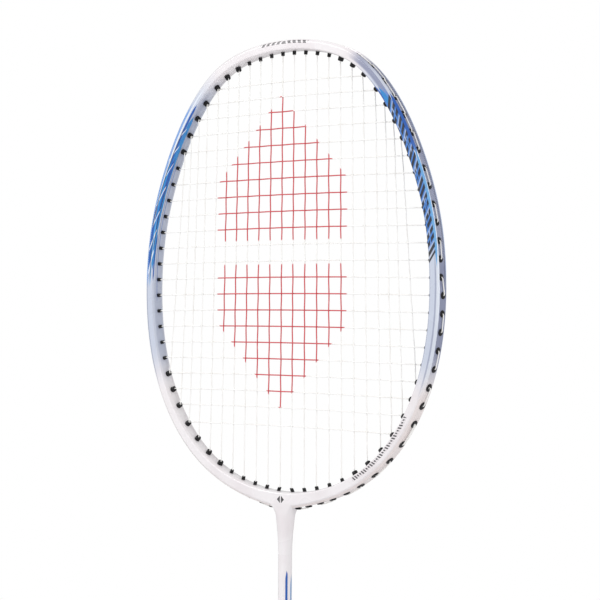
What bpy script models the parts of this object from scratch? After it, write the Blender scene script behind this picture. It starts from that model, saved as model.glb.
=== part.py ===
"""Badminton racket, standing on its butt cap.

+Z runs along the shaft to the head, X across the head and Y square to the string bed.
The origin is the centre of the butt cap's flat end. Lengths below are millimetres.
"""

import math

import bmesh
import bpy
import numpy as np

MM = 0.001

# Head: centreline of the right half of the hoop, from the throat to the crown.
HEAD_POINTS = (
    (0.0, 425.0), (31.0, 429.8), (58.5, 444.4), (80.3, 470.0), (93.4, 503.5), (97.1, 538.8),
    (93.6, 575.6), (83.5, 608.2), (66.7, 639.9), (43.4, 662.4), (21.7, 669.8), (0.0, 671.8),
)
SPLINE_STEPS = 200

# Hoop section. "Out" runs away from the head's middle, "half" is half the width along Y.
FACE_IN = -3.1
FACE_IN_HALF = 2.5
EDGE_IN = -2.52
EDGE_OUT = 1.37
EDGE_HALF = 4.67
LIP_OUT = 2.95
LIP_HALF = 3.15
FLOOR_HALF = 2.75
CAVITY_IN = -2.2
CAVITY_HALF = 2.6
CAVITY_EDGE_OUT = -0.9
CAVITY_EDGE_HALF = 3.75

# The crown and the upper sides have a deep string groove; lower down it is all but flush.
GROOVE_END_Z = 541.0
GROOVE_FLOOR = 1.5
GROOVE_CAVITY = 0.65
FLUSH_FLOOR = 2.75
FLUSH_CAVITY = 1.65

# The outer side swells towards the throat: by this much at its nearest, fading away upwards.
SWELL = 2.6
SWELL_START = 6.0
SWELL_LENGTH = 21.0
EDGE_SWELL = 0.9

# String pattern: 22 mains and 22 crosses, of which some share a hole.
MAINS_PER_SIDE = 11
CROSSES = 22
CROWN_FIRST_X = 3.9
CROWN_PITCH = 7.78
CROWN_HOLES = 6
THROAT_FIRST_X = 4.3
THROAT_PITCH = 8.35
THROAT_HOLES = 8
CROSS_THREE_Z = 636.3
CROSS_PITCH = 9.05
TOP_CROSS_PITCH = 8.15
LAST_CROSS_GAP = 10.2
THROAT_LEAN = (0.395, 0.204, 0.0875)
CROSS_DROP = 0.00015
SHARED_AT_CROWN = {6: 1, 7: 2, 8: 3, 9: 4, 10: 5}
SHARED_AT_THROAT = {8: 22, 9: 21, 10: 19}
WIDE_SINGLES = {("crown", 4), ("crown", 5), ("throat", 5), ("throat", 6), ("throat", 7), ("cross", 20)}
STRING_RADIUS = 0.33
MITRE_LIMIT = 0.6
WEAVE_OFFSET = 0.5
LOOP_HEIGHT = 1.2
TIP_OUT = -6.0
TURN_OUT = 2.6
STATION_OUT = -4.4

# Grommets, as corner radii of six-sided barrels: (bore, barrel, hole in the hoop).
SINGLE_RADII = (0.85, 1.3, 1.68)
WIDE_RADII = (1.35, 1.9, 2.28)
SINGLE_CELL = 1.95
WIDE_CELL = 2.25
FLANGE_BOTTOM = 0.3
FLANGE_TOP = 0.65
FLANGE_MARGIN = 0.05
FLANGE_HALF = {False: 2.1, True: 2.45}
BARREL_END = -5.5

# Throat, shaft and T joint.
THROAT_RINGS = ((418.4, 6.25, 4.68), (416.0, 5.7, 4.5), (412.0, 5.2, 4.3), (406.0, 4.5, 4.05),
                (400.0, 3.95, 3.85), (394.0, 3.75, 3.75))
THROAT_SIDES = 14
SOCKET_SIDES = 12
SOCKET_RADIUS = 2.9
SOCKET_TOP = 422.8
SHAFT_RADIUS = 3.75
SHAFT_BORE = 2.3
SPIGOT_RADIUS = 2.55
SHAFT_TOP = 420.0
SHAFT_BOTTOM = 46.0
SHAFT_SIDES = 24
T_STEM_RADIUS = 1.95
T_STEM_BOTTOM = 384.0
T_HEAD_BOTTOM = 424.7
T_HEAD_TOP = 426.7
T_HEAD_HALF = (2.9, 2.3)
T_HEAD_CHAMFER = 0.9

# Handle: half widths of the octagons along X and Y, and the cut at each corner.
GAP = 0.3
CORE_HALF = (11.6, 10.4)
CORNER_CUT = 0.56
CORE_BOTTOM = 2.9
CORE_TOP = 190.0
CORE_BORE = 4.1
CORE_BORE_SIDES = 16
CORE_BORE_BOTTOM = 45.0
CONE_TOP = 216.0
CONE_STRAIGHT = 3.0
CONE_TIP_RADIUS = 5.4
CONE_LEVELS = 9
GRIP_THICKNESS = 1.5
GRIP_TOP = 203.0
GRIP_LEVELS = 5
CAP_FLOOR = 2.6
CAP_TOP = 16.0
CAP_RINGS = ((0.0, 2.9), (1.4, 4.1), (7.5, 3.9), (16.0, 1.9))
TAPE_BOTTOM = 195.0
TAPE_TOP = 202.0
TAPE_THICKNESS = 0.5
TAPE_LEVELS = 4

FRAME_PAINT = ("pearl_paint", (0.80, 0.80, 0.86), 0.28, 0.0)
SHAFT_PAINT = ("shaft_paint", (0.82, 0.82, 0.84), 0.25, 0.0)
T_JOINT_METAL = ("t_joint_alloy", (0.60, 0.61, 0.63), 0.35, 1.0)
GROMMET_NYLON = ("black_nylon", (0.02, 0.02, 0.022), 0.45, 0.0)
STRING_NYLON = ("string_nylon", (0.86, 0.86, 0.84), 0.35, 0.0)
HANDLE_WOOD = ("handle_wood", (0.62, 0.44, 0.26), 0.60, 0.0)
CONE_PLASTIC = ("cone_plastic", (0.83, 0.83, 0.86), 0.30, 0.0)
CAP_PLASTIC = ("cap_plastic", (0.03, 0.03, 0.035), 0.40, 0.0)
GRIP_PU = ("grip_leatherette", (0.10, 0.22, 0.58), 0.65, 0.0)
TAPE_VINYL = ("tape_vinyl", (0.04, 0.04, 0.05), 0.50, 0.0)


def clear_scene():
    for obj in list(bpy.data.objects):
        bpy.data.objects.remove(obj, do_unlink=True)


def material(look):
    name, colour, roughness, metallic = look
    made = bpy.data.materials.get(name)
    if made is None:
        made = bpy.data.materials.new(name)
        made.use_nodes = True
        shader = made.node_tree.nodes["Principled BSDF"]
        shader.inputs["Base Color"].default_value = (*colour, 1.0)
        shader.inputs["Roughness"].default_value = roughness
        shader.inputs["Metallic"].default_value = metallic
    return made


def add_object(name, mesh_builder, look, sharp_angle=40.0):
    """Closes the bmesh into a named object, in metres, with its faces pointing out."""
    bmesh.ops.recalc_face_normals(mesh_builder, faces=mesh_builder.faces)
    bmesh.ops.scale(mesh_builder, vec=(MM, MM, MM), verts=mesh_builder.verts)
    mesh = bpy.data.meshes.new(name)
    mesh_builder.to_mesh(mesh)
    mesh_builder.free()
    mesh.shade_smooth()
    mesh.set_sharp_from_angle(angle=math.radians(sharp_angle))
    mesh.materials.append(material(look))
    obj = bpy.data.objects.new(name, mesh)
    bpy.context.scene.collection.objects.link(obj)
    return obj


class Hoop:
    """The head's centreline, as positions and outward directions at a distance round it."""

    def __init__(self):
        right = np.array(HEAD_POINTS)
        left = right[1:-1][::-1] * (-1, 1)
        path = self.smooth(np.vstack([right, left]))
        steps = np.hypot(*np.diff(path, axis=0).T)
        self.distance = np.concatenate([[0.0], np.cumsum(steps)])
        self.length = self.distance[-1]
        self.path = path
        along = np.gradient(path, axis=0)
        along[0] = along[-1] = (1.0, 0.0)
        along /= np.hypot(*along.T)[:, None]
        self.outward = np.stack([along[:, 1], -along[:, 0]], axis=1)

    @staticmethod
    def smooth(points):
        """A closed cubic spline through the points, by chord length."""
        count = len(points)
        gaps = np.hypot(*(np.roll(points, -1, axis=0) - points).T)
        matrix = np.zeros((count, count))
        right = np.zeros((count, 2))
        for i in range(count):
            before, after = gaps[i - 1], gaps[i]
            nxt = (i + 1) % count
            matrix[i, i - 1] += before
            matrix[i, i] += 2 * (before + after)
            matrix[i, nxt] += after
            right[i] = 6 * ((points[nxt] - points[i]) / after - (points[i] - points[i - 1]) / before)
        bend = np.linalg.solve(matrix, right)
        path = []
        for i in range(count):
            nxt = (i + 1) % count
            gap = gaps[i]
            for step in np.arange(SPLINE_STEPS) / SPLINE_STEPS:
                a, b = 1 - step, step
                curve = a * points[i] + b * points[nxt]
                curve = curve + gap * gap / 6 * ((a**3 - a) * bend[i] + (b**3 - b) * bend[nxt])
                path.append(curve)
        path.append(points[0])
        return np.array(path)

    def at(self, distance, out, y):
        """The point this far round the hoop, this far out of its centreline and this far along Y."""
        where = distance % self.length
        x, z, nx, nz = (
            np.interp(where, self.distance, column)
            for column in (*self.path.T, *self.outward.T)
        )
        size = math.hypot(nx, nz)
        return np.array([x + out * nx / size, y, z + out * nz / size])

    def right_half(self):
        half = self.distance <= self.length / 2
        line = self.path[half] + STATION_OUT * self.outward[half]
        return self.distance[half], line[:, 0], line[:, 1]

    def station_at_height(self, z):
        distance, _, height = self.right_half()
        return float(np.interp(z, height, distance))

    def station_at_width(self, x, crown):
        distance, width, _ = self.right_half()
        widest = int(np.argmax(width))
        if crown:
            return float(np.interp(x, width[widest:][::-1], distance[widest:][::-1]))
        return float(np.interp(x, width[:widest], distance[:widest]))


class Hole:
    """One string hole: its place round the hoop, its lean and its sizes."""

    def __init__(self, hoop, station, lean, shared, wide):
        self.hoop = hoop
        self.station = station
        self.lean = lean
        self.shared = shared
        self.bore, self.barrel, self.opening = WIDE_RADII if wide else SINGLE_RADII
        self.cell = WIDE_CELL if wide else SINGLE_CELL
        self.flange_half = FLANGE_HALF[wide]
        grooved = hoop.at(station, 0.0, 0.0)[2] > GROOVE_END_Z
        from_throat = min(station, hoop.length - station)
        self.swell = SWELL * math.exp(-max(from_throat - SWELL_START, 0.0) / SWELL_LENGTH)
        self.floor = (GROOVE_FLOOR if grooved else FLUSH_FLOOR) + self.swell
        self.cavity_out = GROOVE_CAVITY if grooved else FLUSH_CAVITY
        self.loop_out = self.floor + LOOP_HEIGHT

    def distance(self, out):
        """Where the hole's axis is round the hoop, at a depth in the section."""
        return self.station + self.lean * (out - STATION_OUT)

    def at(self, out, shift=0.0, y=0.0):
        return self.hoop.at(self.distance(out) + shift, out, y)

    def hexagon(self, out, radius):
        """Six corners round the axis, in the plane of the flat cell at this depth."""
        first = self.at(out, -self.cell)
        last = self.at(out, self.cell)
        middle = (first + last) / 2
        along = (last - first) / np.linalg.norm(last - first)
        corners = []
        for step in range(6):
            angle = math.radians(30 + 60 * step)
            offset = along * math.cos(angle) + np.array([0.0, 1.0, 0.0]) * math.sin(angle)
            corners.append(middle + radius * offset)
        return corners


def cross_heights():
    heights = [CROSS_THREE_Z + 2 * TOP_CROSS_PITCH, CROSS_THREE_Z + TOP_CROSS_PITCH]
    heights += [CROSS_THREE_Z - CROSS_PITCH * step for step in range(CROSSES - 3)]
    heights.append(heights[-1] - LAST_CROSS_GAP)
    return heights


def make_holes(hoop):
    """The holes of the right half from throat to crown, then of the left half back down."""
    shared_crosses = set(SHARED_AT_CROWN.values()) | set(SHARED_AT_THROAT.values())
    right = []
    names = []
    for step in range(THROAT_HOLES):
        station = hoop.station_at_width(THROAT_FIRST_X + THROAT_PITCH * step, crown=False)
        lean = THROAT_LEAN[step] if step < len(THROAT_LEAN) else 0.0
        right.append((station, lean, False))
        names.append(("throat", step))
    for cross, z in reversed(list(enumerate(cross_heights(), start=1))):
        width = hoop.at(hoop.station_at_height(z), 0.0, 0.0)[0]
        station = hoop.station_at_height(z - CROSS_DROP * width * width)
        right.append((station, 0.0, cross in shared_crosses))
        names.append(("cross", cross))
    for step in reversed(range(CROWN_HOLES)):
        station = hoop.station_at_width(CROWN_FIRST_X + CROWN_PITCH * step, crown=True)
        right.append((station, 0.0, False))
        names.append(("crown", step))
    holes = {}
    for (station, lean, shared), name in zip(right, names):
        wide = shared or name in WIDE_SINGLES
        holes[1, *name] = Hole(hoop, station, lean, shared, wide)
    for (station, lean, shared), name in reversed(list(zip(right, names))):
        wide = shared or name in WIDE_SINGLES
        holes[-1, *name] = Hole(hoop, hoop.length - station, -lean, shared, wide)
    return holes


class Builder:
    """A bmesh that is fed corner points and faces."""

    def __init__(self):
        self.mesh = bmesh.new()

    def points(self, corners):
        return [self.mesh.verts.new(corner) for corner in corners]

    def face(self, *corners):
        self.mesh.faces.new(corners)

    def strip(self, first, second, closed=True):
        """Four-sided faces between two rows of equally many corners."""
        count = len(first)
        for i in range(count if closed else count - 1):
            j = (i + 1) % count
            self.face(first[i], first[j], second[j], second[i])

    def cell(self, corners, hexagon):
        """A four-sided cell with a six-sided hole; corners run (-,-), (+,-), (+,+), (-,+)."""
        low_left, low_right, high_right, high_left = corners
        self.face(low_right, high_right, hexagon[0], hexagon[5])
        self.face(high_right, high_left, hexagon[2], hexagon[1], hexagon[0])
        self.face(high_left, low_left, hexagon[3], hexagon[2])
        self.face(low_left, low_right, hexagon[5], hexagon[4], hexagon[3])

    def bridge(self, first, second):
        """Faces between two closed rows of corners, which may differ in number."""
        edges = []
        for row in (first, second):
            for i, corner in enumerate(row):
                other = row[(i + 1) % len(row)]
                edges.append(self.mesh.edges.get((corner, other)) or self.mesh.edges.new((corner, other)))
        bmesh.ops.bridge_loops(self.mesh, edges=edges)


def hoop_section(floor, cavity_out, swell):
    """(out, y) round the outer skin and round the cavity, both starting on the inner face."""
    edge_out = EDGE_OUT + swell * EDGE_SWELL
    lip_out = LIP_OUT + swell
    skin = [(FACE_IN, -FACE_IN_HALF), (FACE_IN, FACE_IN_HALF), (EDGE_IN, EDGE_HALF),
            (edge_out, EDGE_HALF), (lip_out, LIP_HALF), (floor, FLOOR_HALF), (floor, -FLOOR_HALF),
            (lip_out, -LIP_HALF), (edge_out, -EDGE_HALF), (EDGE_IN, -EDGE_HALF)]
    cavity = [(CAVITY_IN, -CAVITY_HALF), (CAVITY_IN, CAVITY_HALF),
              (CAVITY_EDGE_OUT, CAVITY_EDGE_HALF), (cavity_out, CAVITY_HALF),
              (cavity_out, -CAVITY_HALF), (CAVITY_EDGE_OUT, -CAVITY_EDGE_HALF)]
    return skin, cavity


def ellipse(z, half_x, half_y, sides, turn=0.0):
    angles = [turn + 2 * math.pi * i / sides for i in range(sides)]
    return [(half_x * math.cos(a), half_y * math.sin(a), z) for a in angles]


def make_frame(holes):
    """The hollow hoop with its string holes, groove and throat socket, as one body."""
    build = Builder()
    rings = []
    for hole in holes.values():
        profiles = hoop_section(hole.floor, hole.cavity_out, hole.swell)
        for side in (-1, 1):
            rings.append([
                build.points(hole.at(out, side * hole.cell, y) for out, y in profile)
                for profile in profiles
            ])
    first_hole = next(iter(holes.values()))
    hoop = first_hole.hoop
    skin, cavity = hoop_section(first_hole.floor, first_hole.cavity_out, first_hole.swell)
    bottom_skin = {i: build.points([hoop.at(0.0, *skin[i])])[0] for i in (0, 1, 2, 3, 8, 9)}
    bottom_cavity = build.points(hoop.at(0.0, out, y) for out, y in cavity)

    for index, hole in enumerate(holes.values()):
        near, far = rings[2 * index], rings[2 * index + 1]
        after = rings[2 * index + 2] if index + 1 < len(holes) else None
        hexes = [build.points(hole.hexagon(out, hole.opening))
                 for out in (FACE_IN, CAVITY_IN, hole.cavity_out, hole.floor)]
        layers = ((0, 10, {0: hexes[0], 5: hexes[3]}), (1, 6, {0: hexes[1], 3: hexes[2]}))
        for layer, count, flats in layers:
            for i in range(count):
                j = (i + 1) % count
                if i not in flats:
                    build.face(near[layer][i], near[layer][j], far[layer][j], far[layer][i])
                elif i == 0:
                    build.cell((near[layer][i], far[layer][i], far[layer][j], near[layer][j]), flats[i])
                else:
                    build.cell((near[layer][j], far[layer][j], far[layer][i], near[layer][i]), flats[i])
            if after:
                build.strip(far[layer], after[layer])
        build.strip(hexes[0], hexes[1])
        build.strip(hexes[2], hexes[3])

    make_throat(build, rings[0], rings[-1], bottom_skin, bottom_cavity)
    return add_object("frame", build.mesh, FRAME_PAINT)


def make_throat(build, right, left, bottom_skin, bottom_cavity):
    """Closes the hoop at the bottom and draws the socket for the shaft down from it."""
    for ring in (right, left):
        for i, j in ((8, 9), (9, 0), (0, 1), (1, 2), (2, 3)):
            build.face(ring[0][i], ring[0][j], bottom_skin[j], bottom_skin[i])
        for i in (0, 1, 2, 4, 5):
            j = (i + 1) % 6
            build.face(ring[1][i], ring[1][j], bottom_cavity[j], bottom_cavity[i])
    outer_loop = right[0][3:9] + [bottom_skin[8]] + left[0][3:9][::-1] + [bottom_skin[3]]
    inner_loop = right[1][3:5] + [bottom_cavity[4]] + left[1][3:5][::-1] + [bottom_cavity[3]]
    outer_rings = [build.points(ellipse(z, half_x, half_y, THROAT_SIDES))
                   for z, half_x, half_y in THROAT_RINGS]
    build.bridge(outer_loop, outer_rings[0])
    for upper, lower in zip(outer_rings, outer_rings[1:]):
        build.strip(upper, lower)
    socket_bottom = THROAT_RINGS[-1][0]
    inner_rings = [build.points(ellipse(z, SOCKET_RADIUS, SOCKET_RADIUS, SOCKET_SIDES))
                   for z in (SOCKET_TOP, socket_bottom)]
    build.bridge(inner_loop, inner_rings[0])
    build.strip(*inner_rings)
    build.bridge(outer_rings[-1], inner_rings[-1])


def make_grommet_pair(name, first, second):
    """Two flanged barrels joined by the thin web between their flanges."""
    build = Builder()
    plates = []
    for height in (FLANGE_TOP, FLANGE_BOTTOM):
        rows = []
        for hole in (first, second):
            for side in (-1, 1):
                reach = side * (hole.cell - FLANGE_MARGIN)
                half = hole.flange_half
                out = hole.floor + height
                rows.append(build.points([hole.at(out, reach, -half), hole.at(out, reach, half)]))
        plates.append(rows)
    top, bottom = plates
    for index, hole in enumerate((first, second)):
        start = 2 * index
        bore_top = build.points(hole.hexagon(hole.floor + FLANGE_TOP, hole.bore))
        barrel_top = build.points(hole.hexagon(hole.floor + FLANGE_BOTTOM, hole.barrel))
        barrel_end = build.points(hole.hexagon(BARREL_END, hole.barrel))
        bore_end = build.points(hole.hexagon(BARREL_END, hole.bore))
        for rows, ring in ((top, bore_top), (bottom, barrel_top)):
            build.cell((rows[start][0], rows[start + 1][0], rows[start + 1][1], rows[start][1]), ring)
        build.strip(barrel_top, barrel_end)
        build.strip(barrel_end, bore_end)
        build.strip(bore_end, bore_top)
    for rows in (top, bottom):
        build.face(rows[1][0], rows[2][0], rows[2][1], rows[1][1])
    for i in range(3):
        for side in (0, 1):
            build.face(top[i][side], top[i + 1][side], bottom[i + 1][side], bottom[i][side])
    for end in (0, 3):
        build.face(top[end][0], top[end][1], bottom[end][1], bottom[end][0])
    return add_object(name, build.mesh, GROMMET_NYLON)


def make_grommets(holes):
    """Grommets two by two round the hoop: 18 pairs on the right, then 18 on the left."""
    ordered = list(holes.values())
    for index in range(0, len(ordered), 2):
        make_grommet_pair(f"grommet_pair_{index // 2 + 1:02d}", ordered[index], ordered[index + 1])


def hole_visit(hole, weave, inward):
    """The string's points through one hole, from the loop outside to the tip inside."""
    y = weave if hole.shared else 0.0
    points = [hole.at(hole.loop_out, y=y), hole.at(TIP_OUT, y=y)]
    return points if inward else points[::-1]


def run_points(start, end, weave):
    """The straight run between two barrel tips, lifted to its own side of the bed."""
    along = (end - start) / np.linalg.norm(end - start)
    lift = np.array([0.0, 1.0, 0.0])
    first = start + along * TURN_OUT
    last = end - along * TURN_OUT
    return [point * (1, 0, 1) + lift * weave for point in (first, last)]


def string_route(hoop, visits, weave):
    """The whole route: visits are (hole where a run starts, hole where it ends)."""
    route = []
    last_hole = None
    for start, end in visits:
        entering = hole_visit(start, weave, inward=True)
        leaving = hole_visit(end, weave, inward=False)
        if last_hole:
            left_at = last_hole.distance(last_hole.loop_out)
            step = (start.distance(start.loop_out) - left_at + hoop.length / 2) % hoop.length
            middle = left_at + (step - hoop.length / 2) / 2
            y = (route[-1][1] + entering[0][1]) / 2
            route.append(hoop.at(middle, (last_hole.loop_out + start.loop_out) / 2, y))
        route += entering + run_points(entering[-1], leaving[0], weave) + leaving
        last_hole = end
    return route


def string_tube(name, route):
    """A four-sided tube along the route, mitred at its corners."""
    build = Builder()
    rings = []
    up = np.array([0.0, 1.0, 0.0])
    steps = [b - a for a, b in zip(route, route[1:])]
    steps = [step / np.linalg.norm(step) for step in steps]
    for index, point in enumerate(route):
        before = steps[max(index - 1, 0)]
        after = steps[min(index, len(steps) - 1)]
        heading = before + after
        heading /= np.linalg.norm(heading)
        side = np.cross(heading, up)
        side /= np.linalg.norm(side)
        mitre = 1 / max(float(np.dot(heading, before)), MITRE_LIMIT)
        corners = (up, side * mitre, -up, -side * mitre)
        rings.append(build.points(point + STRING_RADIUS * corner for corner in corners))
    for first, second in zip(rings, rings[1:]):
        build.strip(first, second)
    build.face(*rings[0])
    build.face(*rings[-1])
    return add_object(name, build.mesh, STRING_NYLON)


def main_end_holes(holes, index):
    """The crown and throat holes of a main, counted outwards from the middle on its side."""
    side = 1 if index > 0 else -1
    step = abs(index) - 1
    crown = ("cross", SHARED_AT_CROWN[step]) if step in SHARED_AT_CROWN else ("crown", step)
    throat = ("cross", SHARED_AT_THROAT[step]) if step in SHARED_AT_THROAT else ("throat", step)
    return holes[side, *crown], holes[side, *throat]


def make_main_string(hoop, holes):
    """Up the leftmost main, down the next, and so on across to the right."""
    visits = []
    order = [*range(-MAINS_PER_SIDE, 0), *range(1, MAINS_PER_SIDE + 1)]
    for count, index in enumerate(order):
        crown, throat = main_end_holes(holes, index)
        visits.append((throat, crown) if count % 2 == 0 else (crown, throat))
    return string_tube("main_string", string_route(hoop, visits, -WEAVE_OFFSET))


def make_cross_string(hoop, holes):
    """From the top left to the right, back, and so on down to the throat."""
    visits = []
    for cross in range(1, CROSSES + 1):
        left, right = holes[-1, "cross", cross], holes[1, "cross", cross]
        visits.append((left, right) if cross % 2 else (right, left))
    return string_tube("cross_string", string_route(hoop, visits, WEAVE_OFFSET))


def octagon(z, half_x, half_y, blend=0.0, radius=0.0):
    """Sixteen corners: an octagon with a point on each side, blended towards a circle."""
    cut = CORNER_CUT * half_y
    quarter = [(half_x, 0.0), (half_x, half_y - cut), (half_x - cut / 2, half_y - cut / 2),
               (half_x - cut, half_y), (0.0, half_y)]
    upper = quarter + [(-x, y) for x, y in quarter[-2:0:-1]]
    corners = upper + [(-x, -y) for x, y in upper]
    ring = []
    for i, (x, y) in enumerate(corners):
        angle = 2 * math.pi * i / len(corners)
        x += blend * (radius * math.cos(angle) - x)
        y += blend * (radius * math.sin(angle) - y)
        ring.append((x, y, z))
    return ring


def make_turned(name, outer, inner, look, floor=False, sharp_angle=40.0):
    """A body between an outer and an inner stack of rings; with a floor, the inner one is blind."""
    build = Builder()
    outer_rings = [build.points(ring) for ring in outer]
    for first, second in zip(outer_rings, outer_rings[1:]):
        build.strip(first, second)
    if inner is None:
        build.face(*outer_rings[0])
        build.face(*outer_rings[-1])
        return add_object(name, build.mesh, look, sharp_angle)
    inner_rings = [build.points(ring) for ring in inner]
    for first, second in zip(inner_rings, inner_rings[1:]):
        build.strip(first, second)
    build.strip(outer_rings[-1], inner_rings[-1])
    if floor:
        build.face(*outer_rings[0])
        build.face(*inner_rings[0])
    else:
        build.strip(outer_rings[0], inner_rings[0])
    return add_object(name, build.mesh, look, sharp_angle)


def circle(z, radius, sides):
    return ellipse(z, radius, radius, sides)


def make_shaft():
    shoulder = THROAT_RINGS[-1][0] - GAP
    outer = [circle(z, r, SHAFT_SIDES) for z, r in
             ((SHAFT_BOTTOM, SHAFT_RADIUS), (shoulder, SHAFT_RADIUS),
              (shoulder, SPIGOT_RADIUS), (SHAFT_TOP, SPIGOT_RADIUS))]
    inner = [circle(z, SHAFT_BORE, SHAFT_SIDES) for z in (SHAFT_BOTTOM, SHAFT_TOP)]
    return make_turned("shaft", outer, inner, SHAFT_PAINT)


def make_t_joint():
    """A round stem for the shaft's bore under a flat head that sits inside the hoop."""
    half_x, half_y = T_HEAD_HALF
    stem = [circle(z, T_STEM_RADIUS, SOCKET_SIDES) for z in (T_STEM_BOTTOM, T_HEAD_BOTTOM)]
    small_x, small_y = half_x * T_HEAD_CHAMFER, half_y * T_HEAD_CHAMFER
    head = [ellipse(T_HEAD_BOTTOM, small_x, small_y, SOCKET_SIDES),
            ellipse(T_HEAD_BOTTOM + GAP, half_x, half_y, SOCKET_SIDES),
            ellipse(T_HEAD_TOP, half_x, half_y, SOCKET_SIDES)]
    return make_turned("t_joint", stem + head, None, T_JOINT_METAL)


def cone_ring(z, extra):
    """The outside of the handle top at a height, grown by extra: core, then the tapering cone."""
    start = CORE_TOP + CONE_STRAIGHT
    blend = min(max((z - start) / (CONE_TOP - start), 0.0), 1.0)
    eased = blend * blend * (3 - 2 * blend)
    half_x, half_y = (half + extra for half in CORE_HALF)
    return octagon(z, half_x, half_y, eased, CONE_TIP_RADIUS + extra)


def make_handle_core():
    outer = [octagon(z, *CORE_HALF) for z in (CORE_BOTTOM, CORE_TOP)]
    inner = [circle(z, CORE_BORE, CORE_BORE_SIDES) for z in (CORE_BORE_BOTTOM, CORE_TOP)]
    return make_turned("handle_core", outer, inner, HANDLE_WOOD, floor=True, sharp_angle=20.0)


def make_handle_cone():
    heights = np.linspace(CORE_TOP + CONE_STRAIGHT, CONE_TOP, CONE_LEVELS)
    outer = [cone_ring(z, 0.0) for z in (CORE_TOP + GAP, *heights)]
    inner = [circle(z, CORE_BORE, CORE_BORE_SIDES) for z in (CORE_TOP + GAP, CONE_TOP)]
    return make_turned("handle_cone", outer, inner, CONE_PLASTIC, sharp_angle=50.0)


def make_butt_cap():
    outer = [octagon(z, *(half + extra for half in CORE_HALF)) for z, extra in CAP_RINGS]
    inner = [octagon(z, *(half + GAP for half in CORE_HALF)) for z in (CAP_FLOOR, CAP_TOP)]
    return make_turned("butt_cap", outer, inner, CAP_PLASTIC, floor=True, sharp_angle=20.0)


def make_base_grip():
    heights = np.linspace(CORE_TOP + CONE_STRAIGHT, GRIP_TOP, GRIP_LEVELS)
    levels = (CAP_TOP + GAP, *heights)
    outer = [cone_ring(z, GAP + GRIP_THICKNESS) for z in levels]
    inner = [cone_ring(z, GAP) for z in levels]
    return make_turned("base_grip", outer, inner, GRIP_PU, sharp_angle=20.0)


def make_grip_tape():
    levels = np.linspace(TAPE_BOTTOM, TAPE_TOP, TAPE_LEVELS)
    reach = 2 * GAP + GRIP_THICKNESS
    outer = [cone_ring(z, reach + TAPE_THICKNESS) for z in levels]
    inner = [cone_ring(z, reach) for z in levels]
    return make_turned("grip_tape", outer, inner, TAPE_VINYL, sharp_angle=20.0)


def main():
    clear_scene()
    hoop = Hoop()
    holes = make_holes(hoop)
    make_frame(holes)
    make_t_joint()
    make_shaft()
    make_handle_core()
    make_handle_cone()
    make_butt_cap()
    make_base_grip()
    make_grip_tape()
    make_grommets(holes)
    make_main_string(hoop, holes)
    make_cross_string(hoop, holes)


main()
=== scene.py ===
"""Looks of the badminton racket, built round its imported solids.

+Z runs along the shaft to the head, X across the head and Y square to the string bed.
Lengths are millimetres until an object is made; sizes match the solids' own.
"""

import math

import bmesh
import bpy
import numpy as np
from mathutils import Matrix, Vector


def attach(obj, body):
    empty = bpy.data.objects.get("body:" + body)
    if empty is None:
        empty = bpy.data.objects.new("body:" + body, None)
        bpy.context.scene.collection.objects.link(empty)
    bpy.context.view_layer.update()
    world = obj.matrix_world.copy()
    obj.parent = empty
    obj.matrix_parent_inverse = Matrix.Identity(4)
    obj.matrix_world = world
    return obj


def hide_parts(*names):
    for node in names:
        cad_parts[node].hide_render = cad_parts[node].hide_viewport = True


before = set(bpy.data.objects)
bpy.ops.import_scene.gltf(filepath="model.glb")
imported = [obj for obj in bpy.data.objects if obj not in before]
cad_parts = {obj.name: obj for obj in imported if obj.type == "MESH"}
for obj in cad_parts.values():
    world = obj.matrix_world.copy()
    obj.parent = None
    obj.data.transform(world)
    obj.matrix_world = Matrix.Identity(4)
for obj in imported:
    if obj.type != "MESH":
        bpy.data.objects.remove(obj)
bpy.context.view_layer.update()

MM = 0.001
FORWARD = np.array([0.0, 1.0, 0.0])

# Head: centreline of the right half of the hoop, from the throat to the crown.
HEAD_POINTS = (
    (0.0, 425.0), (31.0, 429.8), (58.5, 444.4), (80.3, 470.0), (93.4, 503.5), (97.1, 538.8),
    (93.6, 575.6), (83.5, 608.2), (66.7, 639.9), (43.4, 662.4), (21.7, 669.8), (0.0, 671.8),
)
SPLINE_STEPS = 200
STATIONS = 420

# Hoop section. "Out" runs away from the head's middle, y square to the string bed.
FACE_IN = -3.1
INNER_CORNER = (-3.1, 2.5, 0.5)
EDGE_IN = (-2.52, 4.67, 0.5)
EDGE_OUT = (1.37, 4.67, 0.3)
LIP = (2.95, 3.15, 0.45)
FLOOR_HALF = 2.75
ARC_STEPS = 4
SUPPORT = 0.3
RIDGE_CORNER = 3

# The crown and the upper sides have a deep string groove; lower down it is all but flush.
GROOVE_END_Z = 541.0
GROOVE_FADE = 5.0
GROOVE_FLOOR = 1.55
FLUSH_FLOOR = 2.8

# The outer side swells towards the throat: by this much at its nearest, fading away upwards.
SWELL = 2.6
SWELL_START = 6.0
SWELL_LENGTH = 21.0
EDGE_SWELL = 0.9

# String pattern: 22 mains and 22 crosses, of which some share a hole.
MAINS_PER_SIDE = 11
CROSSES = 22
CROWN_FIRST_X = 3.9
CROWN_PITCH = 7.78
CROWN_HOLES = 6
THROAT_FIRST_X = 4.3
THROAT_PITCH = 8.35
THROAT_HOLES = 8
CROSS_THREE_Z = 636.3
CROSS_PITCH = 9.05
TOP_CROSS_PITCH = 8.15
LAST_CROSS_GAP = 10.2
THROAT_LEAN = (0.395, 0.204, 0.0875)
CROSS_DROP = 0.00015
SHARED_AT_CROWN = {6: 1, 7: 2, 8: 3, 9: 4, 10: 5}
SHARED_AT_THROAT = {8: 22, 9: 21, 10: 19}
WIDE_SINGLES = {("crown", 4), ("crown", 5), ("throat", 5), ("throat", 6), ("throat", 7), ("cross", 20)}
STATION_OUT = -4.4
STRING_RADIUS = 0.34
STRING_SIDES = 8
MAIN_WEAVE = 0.16
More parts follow.
